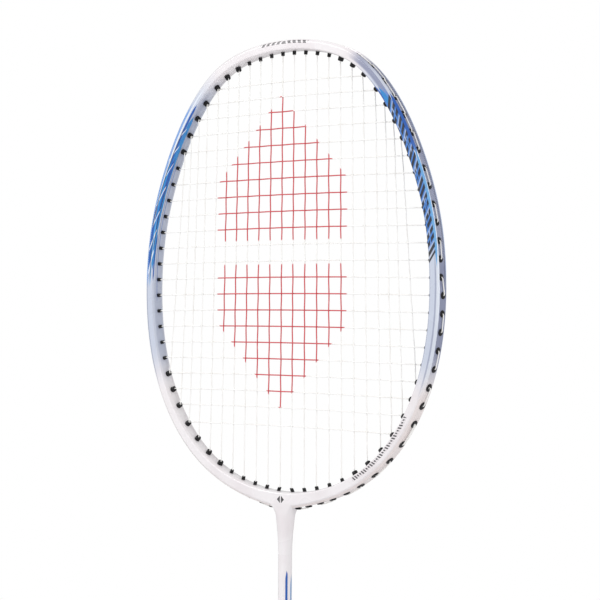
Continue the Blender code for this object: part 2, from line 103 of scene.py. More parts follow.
CROSS_WEAVE = 0.53
SHARED_SHIFT = 0.5
CROSS_BOW = 0.9
LOOP_HEIGHT = 0.98
TIP_OUT = -5.3

# Throat and shaft.
THROAT_REACH = 6.7
THROAT_STEPS = 14
THROAT_CORNER = math.radians(52)
THROAT_JOIN = 414.5
THROAT_RINGS = ((418.4, 6.25, 4.68), (416.0, 5.7, 4.5), (412.0, 5.2, 4.3), (406.0, 4.5, 4.05),
                (400.0, 3.95, 3.85), (394.0, 3.75, 3.75))
SHAFT_RADIUS = 3.75
SHAFT_BORE = 2.3
SHAFT_TOP = 393.99
SHAFT_BOTTOM = 46.0

# Handle.
CORE_HALF = (11.6, 10.4)
CORNER_CUT = 0.56
CORE_TOP = 190.0
CORE_BORE = 4.1
CONE_START = 193.0
CONE_TOP = 216.0
CONE_TIP_RADIUS = 5.4
GAP = 0.3
GRIP_BOTTOM = 16.3
GRIP_TOP = 203.0
GRIP_THICKNESS = 1.35
GRIP_PITCH = 21.0
TAPE_BOTTOM = 195.0
TAPE_TOP = 202.0


class Hoop:
    """The head's centreline, as positions and outward directions at a distance round it."""

    def __init__(self):
        right = np.array(HEAD_POINTS)
        left = right[1:-1][::-1] * (-1, 1)
        self.path = self.smooth(np.vstack([right, left]))
        steps = np.hypot(*np.diff(self.path, axis=0).T)
        self.distance = np.concatenate([[0.0], np.cumsum(steps)])
        self.length = self.distance[-1]
        along = np.gradient(self.path, axis=0)
        along[0] = along[-1] = (1.0, 0.0)
        along /= np.hypot(*along.T)[:, None]
        self.outward = np.stack([along[:, 1], -along[:, 0]], axis=1)

    @staticmethod
    def smooth(points):
        """A closed cubic spline through the points, by chord length."""
        count = len(points)
        gaps = np.hypot(*(np.roll(points, -1, axis=0) - points).T)
        matrix = np.zeros((count, count))
        right = np.zeros((count, 2))
        for i in range(count):
            before, after = gaps[i - 1], gaps[i]
            nxt = (i + 1) % count
            matrix[i, i - 1] += before
            matrix[i, i] += 2 * (before + after)
            matrix[i, nxt] += after
            right[i] = 6 * ((points[nxt] - points[i]) / after - (points[i] - points[i - 1]) / before)
        bend = np.linalg.solve(matrix, right)
        path = []
        for i in range(count):
            nxt = (i + 1) % count
            gap = gaps[i]
            for step in np.arange(SPLINE_STEPS) / SPLINE_STEPS:
                a, b = 1 - step, step
                curve = a * points[i] + b * points[nxt]
                curve = curve + gap * gap / 6 * ((a**3 - a) * bend[i] + (b**3 - b) * bend[nxt])
                path.append(curve)
        path.append(points[0])
        return np.array(path)

    def at(self, distance, out, y):
        """The point this far round the hoop, this far out of its centreline and this far along Y."""
        where = distance % self.length
        x, z, nx, nz = (
            np.interp(where, self.distance, column)
            for column in (*self.path.T, *self.outward.T)
        )
        size = math.hypot(nx, nz)
        return np.array([x + out * nx / size, y, z + out * nz / size])

    def right_half(self):
        half = self.distance <= self.length / 2
        line = self.path[half] + STATION_OUT * self.outward[half]
        return self.distance[half], line[:, 0], line[:, 1]

    def station_at_height(self, z):
        distance, _, height = self.right_half()
        return float(np.interp(z, height, distance))

    def station_at_width(self, x, crown):
        distance, width, _ = self.right_half()
        widest = int(np.argmax(width))
        if crown:
            return float(np.interp(x, width[widest:][::-1], distance[widest:][::-1]))
        return float(np.interp(x, width[:widest], distance[:widest]))


def swell_at(hoop, distance):
    where = distance % hoop.length
    from_throat = min(where, hoop.length - where)
    return SWELL * math.exp(-max(from_throat - SWELL_START, 0.0) / SWELL_LENGTH)


def floor_at(hoop, distance):
    """How far out the groove's floor is, this far round the hoop."""
    over = hoop.at(distance, 0.0, 0.0)[2] - GROOVE_END_Z
    depth = min(max(0.5 + over / GROOVE_FADE, 0.0), 1.0)
    depth = depth * depth * (3 - 2 * depth)
    return FLUSH_FLOOR + (GROOVE_FLOOR - FLUSH_FLOOR) * depth + swell_at(hoop, distance)


class Hole:
    """One string hole: its place round the hoop and its lean."""

    def __init__(self, hoop, station, lean, shared, wide):
        self.hoop = hoop
        self.station = station
        self.lean = lean
        self.shared = shared
        self.wide = wide
        self.floor = floor_at(hoop, station)
        self.loop_out = self.floor + LOOP_HEIGHT

    def distance(self, out):
        return self.station + self.lean * (out - STATION_OUT)

    def at(self, out, shift=0.0, y=0.0):
        return self.hoop.at(self.distance(out) + shift, out, y)


def cross_heights():
    heights = [CROSS_THREE_Z + 2 * TOP_CROSS_PITCH, CROSS_THREE_Z + TOP_CROSS_PITCH]
    heights += [CROSS_THREE_Z - CROSS_PITCH * step for step in range(CROSSES - 3)]
    heights.append(heights[-1] - LAST_CROSS_GAP)
    return heights


def make_holes(hoop):
    """The holes of the right half from throat to crown, then of the left half back down."""
    shared_crosses = set(SHARED_AT_CROWN.values()) | set(SHARED_AT_THROAT.values())
    right = []
    for step in range(THROAT_HOLES):
        station = hoop.station_at_width(THROAT_FIRST_X + THROAT_PITCH * step, crown=False)
        lean = THROAT_LEAN[step] if step < len(THROAT_LEAN) else 0.0
        right.append((("throat", step), station, lean, False))
    for cross, z in reversed(list(enumerate(cross_heights(), start=1))):
        width = hoop.at(hoop.station_at_height(z), 0.0, 0.0)[0]
        station = hoop.station_at_height(z - CROSS_DROP * width * width)
        right.append((("cross", cross), station, 0.0, cross in shared_crosses))
    for step in reversed(range(CROWN_HOLES)):
        station = hoop.station_at_width(CROWN_FIRST_X + CROWN_PITCH * step, crown=True)
        right.append((("crown", step), station, 0.0, False))
    holes = {}
    for name, station, lean, shared in right:
        wide = shared or name in WIDE_SINGLES
        holes[1, *name] = Hole(hoop, station, lean, shared, wide)
    for name, station, lean, shared in reversed(right):
        wide = shared or name in WIDE_SINGLES
        holes[-1, *name] = Hole(hoop, hoop.length - station, -lean, shared, wide)
    return holes


class Skin:
    """Points and faces of one mesh, with named numbers at its points."""

    def __init__(self):
        self.points = []
        self.faces = []
        self.numbers = {}

    def row(self, points, **numbers):
        start = len(self.points)
        self.points += [tuple(float(c) for c in point) for point in points]
        for name, values in numbers.items():
            self.numbers.setdefault(name, []).extend(float(v) for v in values)
        return list(range(start, len(self.points)))

    def face(self, *corners):
        self.faces.append(tuple(corners))

    def strip(self, first, second, closed=True):
        count = len(first)
        for i in range(count if closed else count - 1):
            j = (i + 1) % count
            self.faces.append((first[i], first[j], second[j], second[i]))

    def loft(self, rings, closed=True, caps=True):
        """Strips between rows of points, with the first and last rows closed over."""
        rows = [self.row(ring) for ring in rings]
        for first, second in zip(rows, rows[1:]):
            self.strip(first, second, closed)
        if caps:
            self.face(*rows[0])
            self.face(*rows[-1])
        return rows

    def shell(self, rings):
        """A ring-shaped body: the rows close on each other, outside and inside."""
        rows = [self.row(ring) for ring in rings]
        for first, second in zip(rows, rows[1:] + rows[:1]):
            self.strip(first, second)


def add_piece(name, skin, material, nodes=(), sharp=None):
    """Makes a piece that rides on the racket's one body, with its faces pointing out."""
    mesh = bpy.data.meshes.new(name)
    mesh.from_pydata([(x * MM, y * MM, z * MM) for x, y, z in skin.points], [], skin.faces)
    for number, values in skin.numbers.items():
        mesh.attributes.new(number, "FLOAT", "POINT").data.foreach_set("value", values)
    shape = bmesh.new()
    shape.from_mesh(mesh)
    bmesh.ops.recalc_face_normals(shape, faces=shape.faces)
    shape.to_mesh(mesh)
    shape.free()
    mesh.shade_smooth()
    if sharp is not None:
        mesh.set_sharp_from_angle(angle=math.radians(sharp))
    mesh.materials.append(material)
    piece = bpy.data.objects.new(name, mesh)
    bpy.context.scene.collection.objects.link(piece)
    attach(piece, "root")
    if nodes:
        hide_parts(*nodes)
    return piece


# ---------------------------------------------------------------- materials

def srgb(red, green, blue):
    """A screen colour, 0 to 255, as the linear numbers that shaders take."""
    return tuple(
        (c / 12.92 if c <= 0.04045 else ((c + 0.055) / 1.055) ** 2.4)
        for c in (red / 255, green / 255, blue / 255)
    )


class Value:
    """A number in a material's node tree, which takes ordinary arithmetic."""

    def __init__(self, tree, socket):
        self.tree = tree
        self.socket = socket

    def math(self, operation, *others):
        node = self.tree.nodes.new("ShaderNodeMath")
        node.operation = operation
        for slot, value in zip(node.inputs, (self, *others)):
            if isinstance(value, Value):
                self.tree.links.new(value.socket, slot)
            else:
                slot.default_value = value
        return Value(self.tree, node.outputs[0])

    def __add__(self, other):
        return self.math("ADD", other)

    def __sub__(self, other):
        return self.math("SUBTRACT", other)

    def __mul__(self, other):
        return self.math("MULTIPLY", other)

    def __neg__(self):
        return self.math("MULTIPLY", -1.0)

    def size(self):
        return self.math("ABSOLUTE")

    def most(self, other):
        return self.math("MAXIMUM", other)

    def turn(self, length):
        """Where in each repeat of this length the number lies, from 0 to 1."""
        return self.math("MULTIPLY", 1 / length).math("FRACT")

    def ramp(self, low, high):
        """0 below low and 1 above high, turning smoothly between them."""
        node = self.tree.nodes.new("ShaderNodeMapRange")
        node.interpolation_type = "SMOOTHSTEP"
        node.inputs["From Min"].default_value = low
        node.inputs["From Max"].default_value = high
        self.tree.links.new(self.socket, node.inputs["Value"])
        return Value(self.tree, node.outputs["Result"])

    def band(self, low, high, soft):
        """1 between two numbers, which may themselves be values."""
        rise = (self - low).ramp(-soft, soft)
        fall = (self - high).ramp(-soft, soft)
        return rise * (fall * -1.0 + 1.0)


class Paint:
    """One procedural material: coordinates in millimetres, colours laid over each other."""

    def __init__(self, name, roughness=0.4, **settings):
        self.material = bpy.data.materials.new(name)
        self.material.use_nodes = True
        self.tree = self.material.node_tree
        self.shader = self.tree.nodes["Principled BSDF"]
        self.shader.inputs["Roughness"].default_value = roughness
        for key, value in settings.items():
            self.shader.inputs[key.replace("_", " ").title()].default_value = value
        source = self.tree.nodes.new("ShaderNodeTexCoord")
        self.place = source.outputs["Object"]
        parts = self.tree.nodes.new("ShaderNodeSeparateXYZ")
        self.tree.links.new(self.place, parts.inputs[0])
        self.x, self.y, self.z = (Value(self.tree, out) * 1000.0 for out in parts.outputs)
        self.colour = None

    def number(self, name):
        node = self.tree.nodes.new("ShaderNodeAttribute")
        node.attribute_name = name
        return Value(self.tree, node.outputs["Fac"])

    def noise(self, size, detail=2.0, stretch=(1.0, 1.0, 1.0)):
        """Smooth noise about 0 to 1 with features of this size in millimetres."""
        mapping = self.tree.nodes.new("ShaderNodeMapping")
        mapping.inputs["Scale"].default_value = stretch
        self.tree.links.new(self.place, mapping.inputs["Vector"])
        node = self.tree.nodes.new("ShaderNodeTexNoise")
        node.inputs["Scale"].default_value = 1000.0 / size
        node.inputs["Detail"].default_value = detail
        self.tree.links.new(mapping.outputs[0], node.inputs["Vector"])
        return Value(self.tree, node.outputs[0])

    def angle(self):
        """Degrees round the shaft, 0 at the front and 90 at +X, from -180 to 180."""
        return self.x.math("ARCTAN2", -self.y) * (180 / math.pi)

    def coat(self, colour, mask=1.0):
        """Lays a colour over what is there, by a mask from 0 to 1."""
        if self.colour is None:
            node = self.tree.nodes.new("ShaderNodeRGB")
            node.outputs[0].default_value = (*colour, 1.0)
            self.colour = node.outputs[0]
            return
        node = self.tree.nodes.new("ShaderNodeMix")
        node.data_type = "RGBA"
        factor, first, second = node.inputs["Factor"], node.inputs[6], node.inputs[7]
        if isinstance(mask, Value):
            self.tree.links.new(mask.socket, factor)
        else:
            factor.default_value = mask
        self.tree.links.new(self.colour, first)
        second.default_value = (*colour, 1.0)
        self.colour = node.outputs[2]

    def rough(self, value):
        self.tree.links.new(value.socket, self.shader.inputs["Roughness"])

    def relief(self, height, depth):
        """Bumps the surface by a height from 0 to 1 that stands for a depth in millimetres."""
        node = self.tree.nodes.new("ShaderNodeBump")
        node.inputs["Strength"].default_value = 1.0
        node.inputs["Distance"].default_value = depth * MM
        self.tree.links.new(height.socket, node.inputs["Height"])
        self.tree.links.new(node.outputs[0], self.shader.inputs["Normal"])

    def finish(self):
        self.tree.links.new(self.colour, self.shader.inputs["Base Color"])
        return self.material


PEARL = srgb(238, 234, 236)
PEARL_SHADE = srgb(226, 218, 221)
PERIWINKLE = srgb(198, 205, 221)
SLATE = srgb(124, 130, 160)
ROYAL = srgb(22, 86, 172)
AZURE = srgb(30, 130, 200)
SKY = srgb(92, 160, 216)
SILVER = srgb(226, 232, 242)
INK = srgb(30, 30, 36)
RED_INK = srgb(206, 50, 62)


def streak(along, facet, start, end, offset, slope, width, taper):
    """A painted streak that narrows to a point at both ends."""
    centre = (along - start) * slope + offset
    half = along.ramp(start, start + taper) * ((along - (end - taper)).ramp(0.0, taper) * -1.0 + 1.0)
    return (half * width - (facet - centre).size()).ramp(0.0, 0.22)


def hoop_paint():
    paint = Paint("pearl_hoop_paint", 0.3, coat_weight=0.55, coat_roughness=0.08)
    along = paint.number("along")
    facet = paint.number("facet")
    right = paint.x.ramp(-0.5, 0.5)
    front = paint.y.ramp(-0.02, 0.02) * -1.0 + 1.0
    lettered = right * front + (right * -1.0 + 1.0) * (front * -1.0 + 1.0)
    streaked = lettered * -1.0 + 1.0
    clouds = paint.noise(14.0, 0.0)

    paint.coat(PEARL)
    paint.coat(PEARL_SHADE, clouds.ramp(0.3, 0.75) * 0.5)
    side = (along + clouds * 6.0).band(62.0, 234.0, 14.0)
    paint.coat(PERIWINKLE, side)
    outer = facet.ramp(10.4, 11.2)
    # Painted shade: the outer facets along the sides darkened towards slate.
    paint.coat(SLATE, along.band(50.0, 226.0, 14.0) * outer * 0.9)
    # Painted shade: the inner face along the sides a little darker.
    paint.coat(SLATE, side * facet.ramp(3.4, 2.6) * 0.3)
    paint.coat(srgb(228, 216, 213), along.ramp(215.0, 250.0) * facet.ramp(8.9, 9.5) * 0.7)
    paint.coat(SLATE, along.band(48.0, 82.0, 6.0) * facet.band(6.2, 11.0, 0.6) * lettered * 0.85)
    # Painted shade: the inner face of the upper streaked side darker.
    paint.coat(SLATE, along.band(64.0, 112.0, 10.0) * facet.ramp(4.7, 3.6) * streaked * 0.35)
    # Painted shade: a thin darker line along the front ridge of the lower sides.
    low_side = along.band(170.0, 236.0, 8.0)
    paint.coat(SLATE, low_side * facet.band(7.9, 8.7, 0.15) * 0.55)
    # Painted light: the outer chamfer along the sides lighter, silver.
    paint.coat(SILVER, side * facet.band(8.9, 10.5, 0.15) * 0.6)
    # Painted shade: a darker line along the inner front edge on the right.
    paint.coat(SLATE, side * facet.band(4.2, 5.1, 0.15) * right * 0.5)

    hatch = ((along + facet * 0.9).turn(1.3) - 0.5).size().ramp(0.22, 0.34)
    field = facet.band(4.3, 8.7, 0.12) * along.band(76.0, 164.0, 5.0) * lettered
    paint.coat(srgb(72, 128, 204), field)
    marks = (
        (streaked, SILVER, 58.0, 116.0, 6.7, 0.0, 0.55, 8.0),
        (streaked, ROYAL, 70.0, 118.0, 4.9, 0.015, 0.8, 6.0),
        (streaked, AZURE, 78.0, 134.0, 3.0, 0.025, 1.3, 6.0),
        (streaked, ROYAL, 104.0, 156.0, 4.0, 0.028, 1.1, 8.0),
        (streaked, AZURE, 124.0, 176.0, 3.4, 0.03, 0.8, 8.0),
        (streaked, ROYAL, 150.0, 182.0, 3.2, 0.03, 0.5, 6.0),
        (streaked, AZURE, 104.0, 178.0, 5.6, 0.012, 0.8, 14.0),
        (streaked, ROYAL, 128.0, 180.0, 7.2, 0.0, 0.85, 12.0),
        (streaked, SKY, 140.0, 186.0, 5.4, 0.02, 0.6, 10.0),
        (streaked, ROYAL, 104.0, 196.0, 0.9, 0.0, 0.28, 8.0),
        (streaked, SILVER, 86.0, 99.0, 3.2, 0.36, 0.34, 3.0),
        (streaked, SILVER, 97.0, 111.0, 3.4, 0.36, 0.34, 3.0),
        (streaked, SILVER, 108.0, 122.0, 3.4, 0.3, 0.3, 3.0),
        (streaked, SILVER, 122.0, 138.0, 3.8, 0.28, 0.34, 3.0),
        (streaked, SILVER, 136.0, 150.0, 3.6, 0.34, 0.34, 3.0),
        (streaked, SILVER, 148.0, 164.0, 3.8, 0.3, 0.4, 3.0),
        (streaked, SILVER, 160.0, 178.0, 4.4, 0.2, 0.5, 4.0),
        (streaked, SILVER, 112.0, 150.0, 6.9, 0.012, 0.4, 6.0),
        (streaked, INK, 84.0, 152.0, 5.3, 0.036, 0.34, 6.0),
        (streaked, INK, 118.0, 164.0, 3.9, 0.024, 0.26, 6.0),
        (streaked, INK, 150.0, 182.0, 6.0, 0.01, 0.3, 6.0),
        (streaked, INK, 96.0, 176.0, 2.2, 0.0, 0.2, 8.0),
        (lettered, ROYAL, 66.0, 84.0, 4.6, 0.02, 0.8, 8.0),
        (lettered, AZURE, 70.0, 88.0, 6.0, 0.05, 1.2, 8.0),
        (lettered, ROYAL, 76.0, 118.0, 9.7, 0.0, 1.3, 10.0),
        (lettered, SKY, 106.0, 178.0, 9.6, -0.006, 0.9, 16.0),
    )
    edge_band = facet.band(7.3, 10.6, 0.15) * along.band(76.0, 180.0, 5.0) * streaked
    paint.coat(srgb(78, 142, 216), edge_band)
    paint.coat(SILVER, edge_band * hatch * 0.45)
    for where, colour, *shape in marks:
        paint.coat(colour, streak(along, facet, *shape) * where)
    hatched = outer * along.band(66.0, 172.0, 4.0) * hatch
    paint.coat(srgb(214, 218, 230), hatched * 0.3)

    slant = along + facet * 1.3
    bars = slant.turn(8.6).band(0.04, 0.34, 0.03).most(slant.turn(8.6).band(0.5, 0.8, 0.03))
    slit = facet.band(6.3, 6.9, 0.08) * slant.turn(17.2).band(0.5, 1.0, 0.03)
    slit = slit.most(facet.band(5.2, 5.7, 0.08) * slant.turn(25.8).band(0.0, 0.36, 0.03))
    slit = slit.most(facet.band(7.3, 7.8, 0.08) * slant.turn(34.4).band(0.3, 0.55, 0.03))
    blocks = bars * (slit * -1.0 + 1.0) * facet.band(4.5, 8.9, 0.1) * slant.band(90.0, 178.0, 0.2)
    shine = (slant + 0.9).turn(8.6).band(0.04, 0.4, 0.03) * facet.band(4.7, 8.7, 0.1)
    paint.coat(SILVER, shine * slant.band(90.0, 178.0, 0.2) * lettered * 0.4)
    paint.coat(INK, blocks * lettered * 0.96)

    small = along + facet * 0.5
    strokes = small.turn(1.7).band(0.0, 0.56, 0.05)
    cuts = small.turn(6.8).band(0.0, 0.5, 0.02) * facet.turn(1.5).band(0.3, 0.6, 0.1)
    strokes = strokes * (cuts * -1.0 + 1.0)
    crown = small.turn(3.4).band(0.0, 0.62, 0.03) * facet.band(7.7, 9.7, 0.08) * front
    paint.coat(INK, crown * (along.ramp(16.5, 15.8)) * 0.85)
    lower = strokes * facet.band(5.1, 7.0, 0.08) * lettered
    paint.coat(INK, lower * along.band(254.0, 303.0, 0.1) * 0.9)

    emblem = paint.x.size() + (paint.z - 424.2).size()
    lozenge = emblem.ramp(2.5, 2.35) * (paint.x.size().ramp(0.4, 0.28) * -1.0 + 1.0)
    paint.coat(INK, lozenge * paint.y.ramp(-3.0, -4.0) * 0.92)
    paint.rough(clouds * 0.08 + 0.24)
    paint.relief(paint.noise(3.2, 0.0), 0.006)
    return paint.finish()


def shaft_paint():
    paint = Paint("pearl_shaft_paint", 0.25, coat_weight=0.6, coat_roughness=0.06)
    clouds = paint.noise(18.0)
    paint.coat(PEARL)
    paint.coat(PEARL_SHADE, clouds.ramp(0.3, 0.75) * 0.5)
    angle = paint.angle()
    for turn in (0.0, -180.0):
        down = (paint.z - 380.0) * -1.0
        marks = (
            (ROYAL, 0.0, 128.0, 50.0 + turn, 0.0, 10.0, 4.0),
            (AZURE, 8.0, 90.0, 100.0 + turn, 0.0, 10.0, 6.0),
            (SKY, 96.0, 150.0, 84.0 + turn, -0.2, 9.0, 20.0),
            (INK, 128.0, 150.0, 53.0 + turn, 0.0, 6.0, 6.0),
        )
        for colour, *shape in marks:
            mask = streak(down + angle * 0.12, angle, *shape)
            paint.coat(colour, mask)
    rings = paint.z.band(222.0, 223.2, 0.1).most(paint.z.band(225.0, 225.5, 0.1))
    paint.coat(INK, rings * 0.9)
    paint.rough(clouds * 0.08 + 0.2)
    paint.relief(paint.noise(3.0, 0.0), 0.006)
    return paint.finish()


def string_paint():
    paint = Paint("white_braided_string", 0.38)
    paint.coat(srgb(250, 249, 247))
    paint.coat(srgb(236, 232, 226), paint.noise(9.0).ramp(0.4, 0.8) * 0.5)
    across = (paint.x + 4.5).size()
    reach = across * 1.05 + (paint.z - 559.0).size()
    stencil = (across * -1.0 + 44.5).ramp(-0.6, 0.6) * (reach * -1.0 + 86.0).ramp(-0.6, 0.6)
    stencil = stencil * (paint.z - 559.0).size().ramp(6.0, 7.2)
    paint.coat(RED_INK, stencil * (paint.noise(3.0).ramp(0.15, 0.4) * 0.25 + 0.72))
    braid = (paint.x + paint.z + paint.y * 1.4).turn(0.55)
    paint.relief((braid - 0.5).size(), 0.03)
    paint.rough(paint.noise(1.2) * 0.2 + 0.28)
    return paint.finish()


def nylon_paint(name, colour, light, roughness):
    paint = Paint(name, roughness)
    paint.shader.inputs["Specular IOR Level"].default_value = 0.3
    paint.coat(colour)
    paint.coat(light, paint.noise(3.0, 3.0).ramp(0.45, 0.8) * 0.6)
    paint.rough(paint.noise(1.5) * 0.25 + (roughness - 0.12))
    paint.relief(paint.noise(0.35, 2.0), 0.02)
    return paint.finish()


def grip_paint():
    paint = Paint("blue_wrapped_grip", 0.6)
    paint.coat(srgb(38, 86, 170))
    paint.coat(srgb(26, 66, 142), paint.noise(9.0, 3.0).ramp(0.35, 0.7) * 0.7)
    turn = (paint.z - paint.angle() * (GRIP_PITCH / 360.0)).turn(GRIP_PITCH)
    # Painted shade: darker where each turn tucks under the next one.
    paint.coat(srgb(22, 54, 120), turn.ramp(0.94, 0.99) * 0.7)
    # Painted highlight: a lighter line along each turn's lapping edge.
    paint.coat(srgb(86, 128, 200), turn.ramp(0.035, 0.0) * 0.5)
    across = (paint.angle() * 0.19 + turn * 6.0).turn(2.2) - 0.5
    down = turn.turn(0.11) - 0.5
    hole = (across * across + down * down).math("SQRT").ramp(0.2, 0.1)
    # Painted shade: the perforations darker than the strip around them.
    paint.coat(srgb(16, 38, 92), hole * turn.band(0.16, 0.9, 0.02) * 0.8)
    grain = paint.noise(0.5, 3.0)
    paint.relief(grain * 0.5 - hole * turn.band(0.16, 0.9, 0.02) * 0.9, 0.12)
    paint.rough(grain * 0.2 + 0.5)
    return paint.finish()


def wood_paint():
    paint = Paint("bare_handle_wood", 0.6)
    rings = paint.noise(4.0, 3.0, (1.0, 1.0, 0.05))
    paint.coat(srgb(196, 156, 106))
    paint.coat(srgb(150, 108, 66), (rings * 9.0).math("FRACT").ramp(0.3, 0.9) * 0.6)
    paint.relief(rings, 0.05)
    return paint.finish()


def alloy_paint():
    paint = Paint("t_joint_alloy_metal", 0.35, metallic=1.0)
    brushed = paint.noise(1.0, 3.0, (1.0, 1.0, 0.1))
    paint.coat(srgb(168, 170, 174))
    paint.coat(srgb(138, 140, 146), brushed * 0.6)
    paint.rough(brushed * 0.2 + 0.25)
    return paint.finish()


def floor_paint():
    paint = Paint("pale_floor", 0.8)
    paint.coat(srgb(244, 244, 245))
    paint.coat(srgb(238, 238, 240), paint.noise(120.0).ramp(0.3, 0.8) * 0.5)
    return paint.finish()


# ---------------------------------------------------------------- frame

def half_section(floor, swell):
    """(out, y, distance round the section) from the inner face's middle to the groove's middle."""
    rounded = (INNER_CORNER, EDGE_IN, (EDGE_OUT[0] + swell * EDGE_SWELL, *EDGE_OUT[1:]),
               (LIP[0] + swell, *LIP[1:]), (floor, FLOOR_HALF, min(0.4, (LIP[0] + swell - floor) * 0.4)))
    corners = [(FACE_IN, 0.0)] + [corner[:2] for corner in rounded] + [(floor, 0.0)]
    corners = [np.array(corner) for corner in corners]
    line = [corners[0]]
    ridge = 0
    for index, (out, y, rounding) in enumerate(rounded, start=1):
        here = np.array((out, y))
        back = corners[index - 1] - here
        ahead = corners[index + 1] - here
        size_back, size_ahead = np.linalg.norm(back), np.linalg.norm(ahead)
        back /= size_back
        ahead /= size_ahead
        reach_back, reach_ahead = min(rounding, size_back * 0.3), min(rounding, size_ahead * 0.3)
        first, last = here + back * reach_back, here + ahead * reach_ahead
        line.append(first + back * min(SUPPORT, size_back * 0.15))
        for t in np.linspace(0.0, 1.0, ARC_STEPS + 1):
            line.append((1 - t) ** 2 * first + 2 * t * (1 - t) * here + t * t * last)
        if index == RIDGE_CORNER:
            ridge = len(line) - 1 - ARC_STEPS // 2
        line.append(last + ahead * min(SUPPORT, size_ahead * 0.15))
    line.append(corners[-1])
    line = np.array(line)
    steps = np.hypot(*np.diff(line, axis=0).T)
    facet = np.concatenate([[0.0], np.cumsum(steps)])
    return line, facet, ridge


def throat_half_widths(z):
    """Half widths along X and Y of the neck at a height, eased between its rings."""
    heights = [ring[0] for ring in THROAT_RINGS][::-1]
    return [float(np.interp(z, heights, [ring[k] for ring in THROAT_RINGS][::-1])) for k in (1, 2)]


def make_frame_skin(hoop, material):
    """The painted hoop and the neck that flares up into it, as one closed skin."""
    plain, plain_facet, ridge = half_section(GROOVE_FLOOR, 0.0)
    last = len(plain) - 1
    facets = [*plain_facet, *plain_facet[last - 1:0:-1]]
    count = 2 * last
    skin = Skin()

    def ring(distance, indices):
        along = abs(hoop.length / 2 - distance % hoop.length)
        line = half_section(floor_at(hoop, distance), swell_at(hoop, distance))[0]
        section = [(out, -y) for out, y in line] + [(out, y) for out, y in line[last - 1:0:-1]]
        points = [hoop.at(distance, *section[i]) for i in indices]
        return skin.row(points, along=[along] * len(indices), facet=[facets[i] for i in indices])

    distances = np.linspace(THROAT_REACH, hoop.length - THROAT_REACH, STATIONS)
    rings = [ring(distance, range(count)) for distance in distances]
    for first, second in zip(rings, rings[1:]):
        skin.strip(first, second)

    inner = [*range(ridge, -1, -1), *range(count - 1, count - 1 - ridge, -1)]
    bottoms = [[rings[-1][i] for i in inner]]
    for distance in np.linspace(-THROAT_REACH, THROAT_REACH, THROAT_STEPS + 1)[1:-1]:
        bottoms.append(ring(distance, inner))
    bottoms.append([rings[0][i] for i in inner])
    for first, second in zip(bottoms, bottoms[1:]):
        skin.strip(first, second, closed=False)

    outer = range(ridge, count - ridge + 1)
    loop = [rings[0][i] for i in outer]
    loop += [row[-1] for row in bottoms[-2:0:-1]]
    loop += [rings[-1][i] for i in reversed(outer)]
    loop += [row[0] for row in bottoms[1:-1]]
    make_neck(skin, loop, len(outer), hoop)
    return add_piece("frame_skin", skin, material, ["frame"], 50)


def make_neck(skin, loop, side_count, hoop):
    """Sweeps the loop under the hoop down into the round end that meets the shaft."""
    run_count = THROAT_STEPS - 1
    side = np.linspace(-THROAT_CORNER, THROAT_CORNER, side_count)
    run = np.linspace(THROAT_CORNER, math.pi - THROAT_CORNER, run_count + 2)[1:-1]
    angles = np.concatenate([side, run, math.pi + side, math.pi + run])
    starts = np.array([skin.points[i] for i in loop])
    on_side = np.array([1.0] * side_count + [0.0] * run_count)
    on_side = np.concatenate([on_side, on_side])
    toward = np.sign(-starts[:, 0])
    leaving = np.zeros_like(starts)
    leaving[:, 0] = on_side * toward * 2.2
    leaving[:, 1] = (1 - on_side) * -np.sign(starts[:, 1]) * 1.2
    leaving[:, 2] = -1.2 - 4.0 * (1 - on_side)
    half_x, half_y = throat_half_widths(THROAT_JOIN)
    low_x, low_y = throat_half_widths(THROAT_JOIN - 1.0)
    level = np.full(len(angles), THROAT_JOIN)
    ends = np.stack([half_x * np.cos(angles), half_y * np.sin(angles), level], 1)
    lower = np.stack([low_x * np.cos(angles), low_y * np.sin(angles), level - 1.0], 1)
    arriving = (lower - ends) * 7.0
    rows = [loop]
    middle = hoop.length / 2
    for t in np.linspace(0.0, 1.0, 13)[1:]:
        weights = (2 * t**3 - 3 * t**2 + 1, t**3 - 2 * t**2 + t, 3 * t**2 - 2 * t**3, t**3 - t**2)
        points = sum(w * part for w, part in zip(weights, (starts, leaving, ends, arriving)))
        rows.append(skin.row(points, along=[middle] * len(angles), facet=[0.0] * len(angles)))
    for z in np.linspace(THROAT_JOIN, THROAT_RINGS[-1][0], 18)[1:]:
        half_x, half_y = throat_half_widths(z)
        points = [(half_x * math.cos(a), half_y * math.sin(a), z) for a in angles]
        rows.append(skin.row(points, along=[middle] * len(angles), facet=[0.0] * len(angles)))
    for first, second in zip(rows, rows[1:]):
        skin.strip(first, second)
    skin.face(*rows[-1])


# ---------------------------------------------------------------- grommets and strings

